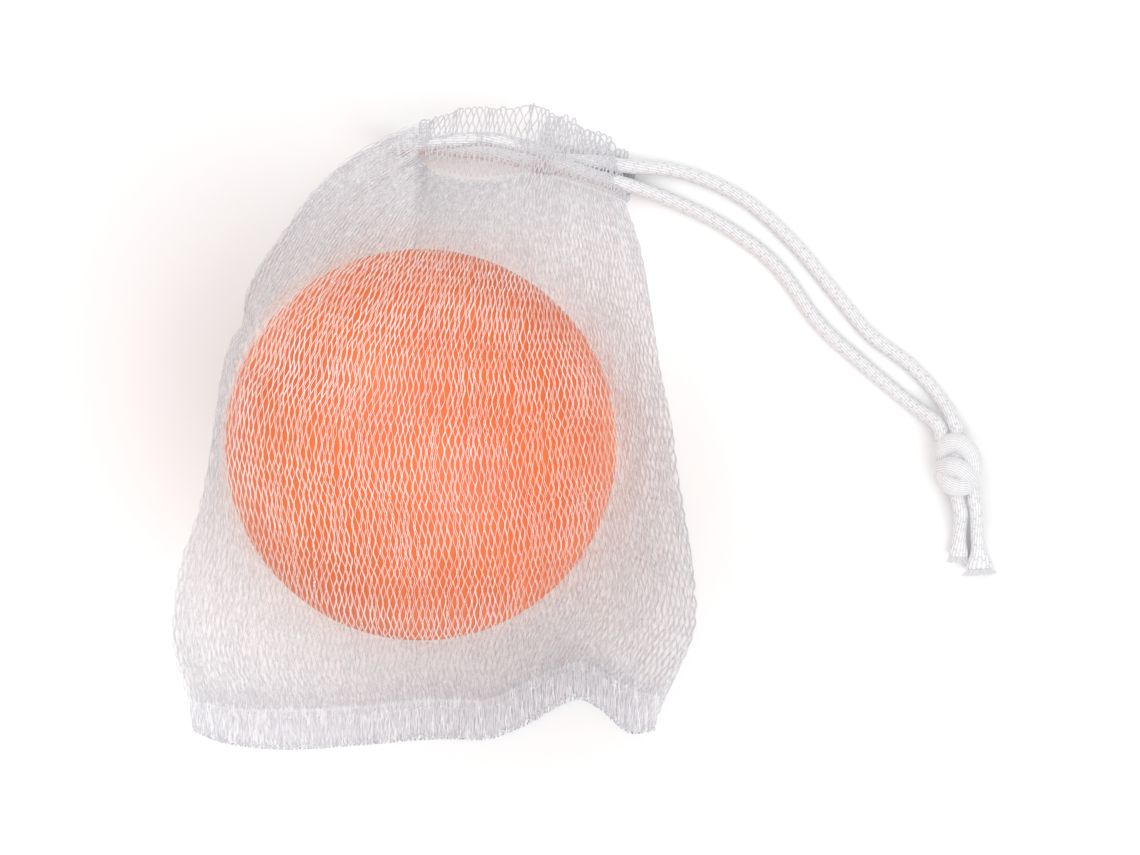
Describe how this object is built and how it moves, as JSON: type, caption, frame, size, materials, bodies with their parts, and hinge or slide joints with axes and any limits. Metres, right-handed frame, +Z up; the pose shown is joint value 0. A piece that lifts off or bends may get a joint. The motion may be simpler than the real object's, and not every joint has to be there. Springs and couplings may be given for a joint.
{
  "type": "mesh ball bag",
  "caption": "Small drawcord net pouch draped over a ball, with a knotted satin cord coming out of its gathered mouth.",
  "frame": {"origin": "on the surface the bag lies on, straight under the ball's centre", "axes": "+Z up from the flat back layer, +Y from the closed bottom to the mouth, +X to the side where the cord leaves"},
  "size_m": [0.1571, 0.1269, 0.0756],
  "materials": {
    "net": "fine knitted net of clear white monofilament",
    "hem": "doubled net, closed with a row of white stitches",
    "cord": "satin braided cord",
    "cover": "smooth moulded orange, satin",
    "core": "cork and rubber granulate"
  },
  "bodies": {
    "bag": {"net_front": "net", "net_back": "net", "bottom_hem": "hem", "hem_stitch": "hem", "frill_front": "net", "frill_back": "net", "drawcord_loop": "cord"},
    "ball": {"ball_core": "core", "ball_cover_upper": "cover", "ball_cover_lower": "cover"},
    "drawcord": {"cord_run_upper": "cord", "cord_run_lower": "cord", "knot": "cord", "tail_left": "cord", "tail_right": "cord"}
  },
  "joints": [
    {"name": "ball_turn", "type": "hinge", "parent": "bag", "child": "ball", "pos_m": [0, 0, 0.0376], "axis": [1, 0, 0], "continuous": true},
    {"name": "drawcord_pull", "type": "slide", "parent": "bag", "child": "drawcord", "axis": [0.9457, -0.3249, 0], "range_m": [0, 0.012]}
  ]
}
